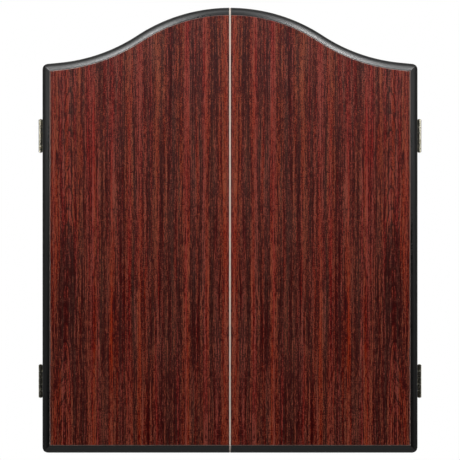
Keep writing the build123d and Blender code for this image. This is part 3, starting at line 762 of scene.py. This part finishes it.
def chalkboard_finish(settings):
    """Chalkboard paint with ruled columns and rows and a cloud of wiped chalk."""
    low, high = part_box("right_scoreboard")
    centre = (low + high) / 2
    reach = (high - low) / 2 - Vector((settings.margin,) * 3)
    rows = int(reach.z / settings.row) * settings.row
    columns = int(reach.x / settings.column) * settings.column
    material, tree, shader = new_finish("chalkboard", IOR=1.42)
    position, _ = object_space(tree)
    x, y, z = split_axes(position)
    across = maths("SUBTRACT", maths("ABSOLUTE", x), centre.x)
    up = maths("SUBTRACT", z, centre.z)
    level_lines = ruled_lines(up, across, settings.row, settings, rows, columns)
    upright_lines = ruled_lines(across, up, settings.column, settings, columns, rows)
    board = join_axes(across, up, y)
    grit = noise(board, (900.0, 900.0, 900.0), detail=3.0, roughness=0.7)
    chalky = rise(grit, 0.30, 0.52)
    lines = product(maths("MAXIMUM", level_lines, upright_lines), chalky)
    sweeps = noise(board, (7.0, 26.0, 1.0), detail=5.0, roughness=0.6)
    clouds = noise(board, (4.0, 5.0, 1.0), detail=2.0)
    wiped = product(rise(sweeps, 0.42, 0.80), rise(clouds, 0.35, 0.70))
    dusty = mix(product(wiped, chalky, 0.20), settings.paint, settings.chalk)
    tint = mix(product(lines, 0.85), dusty, settings.chalk)
    roughness = total((wiped, 0.15), (lines, 0.2), (1.0, 0.62))
    coat(shader, tint, roughness, total((grit, 0.6), (lines, 0.5)), depth=0.00015)
    return material


class CABINET_OT_scoreboards(bpy.types.Operator):
    """Finishes the chalkboard scoreboards"""

    bl_idname = "cabinet.scoreboards"
    bl_label = "Scoreboards"

    def execute(self, context):
        dress(chalkboard_finish(context.scene.cabinet_looks.scoreboards), *both("scoreboard"))
        return {"FINISHED"}


# Screws

BODY_SIZES = ("Head Radius", "Dome", "Countersink", "Shank Radius", "Core Radius", "Point", "Length")
CUT_SIZES = ("Pitch", "Recess Span", "Recess Width", "Recess Depth")
SCREW_INPUTS = {
    "NodeSocketVector": ("Axis",),
    "NodeSocketFloat": BODY_SIZES + CUT_SIZES,
    "NodeSocketInt": ("Seed",),
    "NodeSocketMaterial": ("Material",),
}
SCREW_SIDES = 20
THREAD_SIDES = 14
DOME_RINGS = 4
RECESS_TAPER = 0.45
SHARP_ANGLE = radians(32)
WELD_DISTANCE = 1e-6

# The shank as a share of the head, and the length of the point in radii of the core
COUNTERSUNK_SHANK = 0.5
PAN_SHANK = 0.4375
POINT_LENGTH = 2.5


def screw_body(tree, given):
    """A head on a plain core that ends in a point, turned from a grid; its top is at the origin."""
    rings = DOME_RINGS + 4
    inputs = {"Size X": 1.0, "Size Y": 1.0, "Vertices X": SCREW_SIDES + 1, "Vertices Y": rings}
    grid = place(tree, "GeometryNodeMeshGrid", inputs)
    x, y, _ = split_axes(place(tree, "GeometryNodeInputPosition").outputs[0])
    angle = product(maths("ADD", x, 0.5), 2 * pi)
    ring = maths("ROUND", product(maths("ADD", y, 0.5), rings - 1.0))

    # Rings of the dome, then the underside of the head, the start of the point and its end
    lift = product(ring, pi / 2 / DOME_RINGS)
    seat = product(given["Dome"], -1.0)
    neck = maths("SUBTRACT", seat, given["Countersink"])
    tip = product(given["Length"], -1.0)
    point = maths("ADD", tip, given["Point"])
    dome_radius = product(given["Head Radius"], maths("SINE", lift))
    dome_height = maths("MULTIPLY_ADD", maths("COSINE", lift), given["Dome"], seat)
    stations = [(dome_radius, dome_height)] * (DOME_RINGS + 1)
    stations += [(given["Core Radius"], neck), (given["Core Radius"], point), (0.0, tip)]
    chosen = []
    for values in zip(*stations):
        switch = place(tree, "GeometryNodeIndexSwitch", {"Index": ring}, data_type="FLOAT")
        while len(switch.index_switch_items) < len(values):
            switch.index_switch_items.new()
        for socket, value in zip(switch.inputs[1:], values):
            feed(socket, value)
        chosen.append(switch.outputs[0])
    radius, height = chosen
    across, back = (product(radius, maths(wave, angle)) for wave in ("COSINE", "SINE"))
    turned = join_axes(across, back, height)
    shaped = place(tree, "GeometryNodeSetPosition", {"Geometry": grid.outputs["Mesh"], "Position": turned})
    inputs = {"Geometry": shaped.outputs[0], "Distance": WELD_DISTANCE}
    return place(tree, "GeometryNodeMergeByDistance", inputs).outputs[0]


def cross_recess(tree, given):
    """The tapered cross that is cut into the head."""
    double_depth = product(given["Recess Depth"], 2.0)
    bars = place(tree, "GeometryNodeJoinGeometry")
    for span, width in (("Recess Span", "Recess Width"), ("Recess Width", "Recess Span")):
        dimensions = join_axes(given[span], given[width], double_depth)
        bar = place(tree, "GeometryNodeMeshCube", {"Size": dimensions})
        feed(bars.inputs[0], bar.outputs["Mesh"])
    x, y, z = split_axes(place(tree, "GeometryNodeInputPosition").outputs[0])
    taper = maths("MULTIPLY_ADD", maths("LESS_THAN", z, 0.0), -RECESS_TAPER, 1.0)
    tapered = join_axes(product(x, taper), product(y, taper), z)
    inputs = {"Geometry": bars.outputs[0], "Position": tapered}
    return place(tree, "GeometryNodeSetPosition", inputs).outputs[0]


def screw_thread(tree, given):
    """A ridge wound round the core."""
    neck = maths("ADD", given["Dome"], given["Countersink"])
    run = maths("SUBTRACT", given["Length"], maths("ADD", neck, given["Point"]))
    ridge = maths("SUBTRACT", given["Shank Radius"], given["Core Radius"])
    inputs = {
        "Resolution": THREAD_SIDES,
        "Rotations": maths("DIVIDE", run, given["Pitch"]),
        "Start Radius": given["Core Radius"],
        "End Radius": given["Core Radius"],
        "Height": run,
    }
    spiral = place(tree, "GeometryNodeCurveSpiral", inputs)
    section = place(tree, "GeometryNodeCurvePrimitiveCircle", {"Resolution": 3, "Radius": ridge})
    inputs = {"Curve": spiral.outputs[0], "Profile Curve": section.outputs[0], "Fill Caps": True}
    swept = place(tree, "GeometryNodeCurveToMesh", inputs)
    lowered = join_axes(0.0, 0.0, maths("SUBTRACT", given["Point"], given["Length"]))
    inputs = {"Geometry": swept.outputs[0], "Translation": lowered}
    return place(tree, "GeometryNodeTransform", inputs).outputs[0]


def build_screw_tree():
    """Cross-recessed wood screws, one on each point, driven along an axis and left at random angles."""
    tree = bpy.data.node_groups.new("Wood screws", "GeometryNodeTree")
    tree.interface.new_socket("Geometry", in_out="INPUT", socket_type="NodeSocketGeometry")
    for kind, names in SCREW_INPUTS.items():
        for name in names:
            tree.interface.new_socket(name, in_out="INPUT", socket_type=kind)
    tree.interface.new_socket("Geometry", in_out="OUTPUT", socket_type="NodeSocketGeometry")
    given = place(tree, "NodeGroupInput").outputs
    body, recess = screw_body(tree, given), cross_recess(tree, given)
    inputs = {"Mesh 1": body, "Mesh 2": recess, "Self Intersection": True}
    cut = place(tree, "GeometryNodeMeshBoolean", inputs, operation="DIFFERENCE", solver="EXACT")
    screw = place(tree, "GeometryNodeJoinGeometry")
    feed(screw.inputs[0], cut.outputs["Mesh"])
    feed(screw.inputs[0], screw_thread(tree, given))
    chance = place(tree, "FunctionNodeRandomValue", {"Seed": given["Seed"]}, data_type="FLOAT")
    turn = product(chance.outputs[1], 2 * pi)
    spin = place(tree, "FunctionNodeAxisAngleToRotation", {"Axis": (0.0, 0.0, 1.0), "Angle": turn})
    aim = place(tree, "FunctionNodeAlignRotationToVector", {"Vector": given["Axis"]}, axis="Z")
    inputs = {"Rotation": aim.outputs[0], "Rotate By": spin.outputs[0]}
    driven = place(tree, "FunctionNodeRotateRotation", inputs, rotation_space="LOCAL")
    inputs = {"Points": given["Geometry"], "Instance": screw.outputs[0], "Rotation": driven.outputs[0]}
    placed = place(tree, "GeometryNodeInstanceOnPoints", inputs)
    real = place(tree, "GeometryNodeRealizeInstances", {"Geometry": placed.outputs[0]})
    inputs = {"Geometry": real.outputs[0], "Material": given["Material"]}
    made = place(tree, "GeometryNodeSetMaterial", inputs)
    place(tree, "NodeGroupOutput", {"Geometry": made.outputs[0]})
    return tree


def solids_of(name):
    """The box of each separate solid of a CAD node."""
    mesh = cad_nodes[name].data
    spots = [tuple(round(part, 6) for part in vertex.co) for vertex in mesh.vertices]
    leader = {spot: spot for spot in spots}

    def root(spot):
        while leader[spot] != spot:
            leader[spot] = leader[leader[spot]]
            spot = leader[spot]
        return spot

    for edge in mesh.edges:
        first, second = (root(spots[index]) for index in edge.vertices)
        leader[first] = second
    solids = {}
    for spot in leader:
        solids.setdefault(root(spot), []).append(spot)
    return [(Vector(map(min, zip(*points))), Vector(map(max, zip(*points)))) for points in solids.values()]


def make_screws(tree, name, body, axis, countersunk, material, settings):
    """Cross-recessed screws in place of a CAD node's plain ones."""
    axis = Vector(axis)
    along = max(range(3), key=lambda index: abs(axis[index]))
    side = (along + 1) % 3
    boxes = solids_of(name)
    low, high = boxes[0]
    length = (high - low)[along]
    head_radius = (high - low)[side] / 2
    shank_radius = head_radius * (COUNTERSUNK_SHANK if countersunk else PAN_SHANK)
    core_radius = shank_radius * settings.core
    tops = []
    for low, high in boxes:
        top = (low + high) / 2
        top[along] = high[along] if axis[along] > 0 else low[along]
        tops.append(top)
    points = bpy.data.meshes.new(name)
    points.from_pydata(tops, [], [])
    maker = bpy.data.objects.new(f"{name}_points", points)
    bpy.context.scene.collection.objects.link(maker)
    modifier = maker.modifiers.new("Screws", "NODES")
    modifier.node_group = tree
    values = {
        "Axis": axis,
        "Head Radius": head_radius,
        "Dome": 0.0 if countersunk else settings.dome,
        "Countersink": head_radius - shank_radius if countersunk else 0.0,
        "Shank Radius": shank_radius,
        "Core Radius": core_radius,
        "Point": core_radius * POINT_LENGTH,
        "Length": length,
        "Pitch": settings.pitch,
        "Recess Span": 2 * head_radius * settings.recess_span,
        "Recess Width": 2 * head_radius * settings.recess_width,
        "Recess Depth": settings.recess_depth,
        "Seed": settings.seed,
        "Material": material,
    }
    for socket in tree.interface.items_tree:
        if socket.in_out == "INPUT" and socket.name in values:
            modifier[socket.identifier] = values[socket.name]
    depsgraph = bpy.context.evaluated_depsgraph_get()
    mesh = bpy.data.meshes.new_from_object(maker.evaluated_get(depsgraph))
    bpy.data.objects.remove(maker)
    mesh.shade_smooth()
    mesh.set_sharp_from_angle(angle=SHARP_ANGLE)
    piece = bpy.data.objects.new(f"cross_recessed_{name}", mesh)
    bpy.context.scene.collection.objects.link(piece)
    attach(piece, body)
    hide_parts(name)


class CABINET_OT_screws(bpy.types.Operator):
    """Makes the cross-recessed screws"""

    bl_idname = "cabinet.screws"
    bl_label = "Screws"

    def execute(self, context):
        looks = context.scene.cabinet_looks
        tree = build_screw_tree()
        zinc = plate_finish("screw_steel", looks.finishes.zinc, ZINC_TARNISH, 0.28, 420.0)
        brass = plate_finish("screw_brass", looks.finishes.brass, BRASS_TARNISH, 0.26, 420.0)
        front, back, up = (0, -1, 0), (0, 1, 0), (0, 0, 1)
        groups = [
            ("back_screws", "cabinet", back, True),
            ("bracket_screws", "cabinet", front, False),
            ("catch_screws", "cabinet", up, False),
            ("cabinet_hinge_screws", "cabinet", front, True),
        ]
        for hand in HANDS:
            body = f"{hand}_door"
            groups += [
                (f"{hand}_door_hinge_screws", body, back, True),
                (f"{hand}_scoreboard_screws", body, back, False),
                (f"{hand}_rack_screws", body, back, False),
                (f"{hand}_strike_screw", body, back, True),
            ]
        for name, body, axis, countersunk in groups:
            hinge = "hinge" in name
            make_screws(tree, name, body, axis, countersunk, brass if hinge else zinc, looks.screws)
        return {"FINISHED"}


# Studio

def build_world(settings):
    """A white backdrop behind the cabinet and a dim room in front; diffuse light gets an even fill."""
    world = bpy.data.worlds.new("studio")
    world.use_nodes = True
    tree = world.node_tree
    tree.nodes.clear()
    direction = place(tree, "ShaderNodeTexCoord").outputs["Generated"]
    sideways, depth, height = split_axes(direction)
    backdrop = rise(depth, 0.40, 0.90)
    above = rise(height, 0.0, 0.9)
    walls = rise(maths("ABSOLUTE", sideways), 0.75, 0.97)
    room = total((above, 0.10), (walls, 0.07), (settings.gloom, 1.0))
    mirrored = maths("MAXIMUM", backdrop, room)
    rays = place(tree, "ShaderNodeLightPath").outputs
    glossy = product(rays["Is Glossy Ray"], mirrored)
    seen = maths("MAXIMUM", rays["Is Camera Ray"], rays["Is Transmission Ray"])
    shown = maths("MAXIMUM", seen, glossy)
    plain = maths("SUBTRACT", 1.0, maths("MAXIMUM", seen, rays["Is Glossy Ray"]))
    level = maths("MULTIPLY_ADD", plain, settings.fill, shown)
    light = place(tree, "ShaderNodeBackground", {"Color": (1.0, 1.0, 1.0), "Strength": level})
    place(tree, "ShaderNodeOutputWorld", {"Surface": light.outputs[0]})
    return world


def floor_finish(settings):
    """A pale painted floor that fades into the white backdrop far from the cabinet."""
    material, tree, shader = new_finish("studio_floor", IOR=1.4, Roughness=0.8)
    position, _ = object_space(tree)
    mottle = noise(position, (3.0, 3.0, 3.0), detail=5.0)
    feed(shader["Base Color"], mix(mottle, settings.floor, shade(settings.floor, 0.94)))
    distance = place(tree, "ShaderNodeVectorMath", {0: position}, operation="LENGTH").outputs["Value"]
    rays = place(tree, "ShaderNodeLightPath").outputs
    fade = product(rise(distance, *FLOOR_FADE), rays["Is Camera Ray"])
    white = place(tree, "ShaderNodeEmission", {"Color": (1.0, 1.0, 1.0), "Strength": 1.0})
    surface = tree.nodes["Principled BSDF"].outputs[0]
    blend = place(tree, "ShaderNodeMixShader", {0: fade, 1: surface, 2: white.outputs[0]})
    feed(tree.nodes["Material Output"].inputs["Surface"], blend.outputs[0])
    return material


def add_softbox(name, stand, aim, sides, watts):
    """A softbox that faces a point."""
    lamp = bpy.data.lights.new(name, "AREA")
    lamp.shape = "RECTANGLE"
    lamp.size, lamp.size_y = sides
    lamp.energy = watts
    holder = bpy.data.objects.new(name, lamp)
    holder.location = stand
    holder.rotation_euler = (aim - stand).to_track_quat("-Z", "Y").to_euler()
    bpy.context.scene.collection.objects.link(holder)


class CABINET_OT_studio(bpy.types.Operator):
    """Sets up the camera, the softboxes, the backdrop and the floor"""

    bl_idname = "cabinet.studio"
    bl_label = "Studio"

    def execute(self, context):
        scene = context.scene
        settings = scene.cabinet_looks.studio
        door_front = cad_box[0].y
        scene.view_settings.view_transform = "Standard"
        scene.world = build_world(settings)

        lens = bpy.data.cameras.new("camera")
        lens.lens = settings.lens
        camera = bpy.data.objects.new("camera", lens)
        distance = settings.width * settings.lens / lens.sensor_width
        camera.location = (0.0, door_front - distance, settings.eye_level)
        camera.rotation_euler = (pi / 2, 0.0, 0.0)
        scene.collection.objects.link(camera)
        scene.camera = camera

        for hand, sign in zip(HANDS, (-1.0, 1.0)):
            mirror = Vector((sign, 1.0, 1.0))
            for lamp, (stand, (aim_across, aim_up), sides) in SOFTBOXES.items():
                aim = Vector((aim_across, door_front, aim_up))
                watts = getattr(settings, f"{lamp}_power")
                add_softbox(f"{hand}_{lamp}", mirror * Vector(stand), mirror * aim, sides, watts)

        mesh = bpy.data.meshes.new("floor")
        ways = ((-1, -1), (1, -1), (1, 1), (-1, 1))
        corners = [(x * FLOOR_REACH, y * FLOOR_REACH, -settings.floor_drop) for x, y in ways]
        mesh.from_pydata(corners, [], [(0, 1, 2, 3)])
        mesh.materials.append(floor_finish(settings))
        floor = bpy.data.objects.new("floor", mesh)
        scene.collection.objects.link(floor)
        return {"FINISHED"}


# Panel and registration

SETTINGS = (RosewoodSettings, FinishSettings, ScoreboardSettings, ScrewSettings, StudioSettings, CabinetLooks)
OPERATORS = (
    CABINET_OT_shared_effects,
    CABINET_OT_door_faces,
    CABINET_OT_mouldings,
    CABINET_OT_meeting_bands,
    CABINET_OT_boards,
    CABINET_OT_hinges,
    CABINET_OT_steel_plates,
    CABINET_OT_dart_racks,
    CABINET_OT_catch,
    CABINET_OT_scoreboards,
    CABINET_OT_screws,
    CABINET_OT_studio,
)


class CABINET_PT_looks(bpy.types.Panel):
    """The cabinet's settings and the steps that apply them"""

    bl_idname = "CABINET_PT_looks"
    bl_label = "Dart board cabinet"
    bl_space_type = "VIEW_3D"
    bl_region_type = "UI"
    bl_category = "Cabinet"

    def draw(self, context):
        looks = context.scene.cabinet_looks
        for name in ("rosewood", "finishes", "scoreboards", "screws", "studio"):
            group = getattr(looks, name)
            box = self.layout.box()
            box.label(text=name.capitalize())
            for entry in group.bl_rna.properties:
                if entry.identifier not in ("rna_type", "name"):
                    box.prop(group, entry.identifier)
        for operator in OPERATORS:
            self.layout.operator(operator.bl_idname)


CLASSES = (*SETTINGS, *OPERATORS, CABINET_PT_looks)


def register():
    for made in CLASSES:
        bpy.utils.register_class(made)
    bpy.types.Scene.cabinet_looks = PointerProperty(type=CabinetLooks)


def unregister():
    del bpy.types.Scene.cabinet_looks
    for made in reversed(CLASSES):
        bpy.utils.unregister_class(made)


def main():
    """Dresses the cabinet step by step."""
    register()
    bpy.ops.cabinet.shared_effects()
    bpy.ops.cabinet.door_faces()
    bpy.ops.cabinet.mouldings()
    bpy.ops.cabinet.meeting_bands()
    bpy.ops.cabinet.boards()
    bpy.ops.cabinet.hinges()
    bpy.ops.cabinet.steel_plates()
    bpy.ops.cabinet.dart_racks()
    bpy.ops.cabinet.catch()
    bpy.ops.cabinet.scoreboards()
    bpy.ops.cabinet.screws()
    bpy.ops.cabinet.studio()


if __name__ == "__main__":
    main()
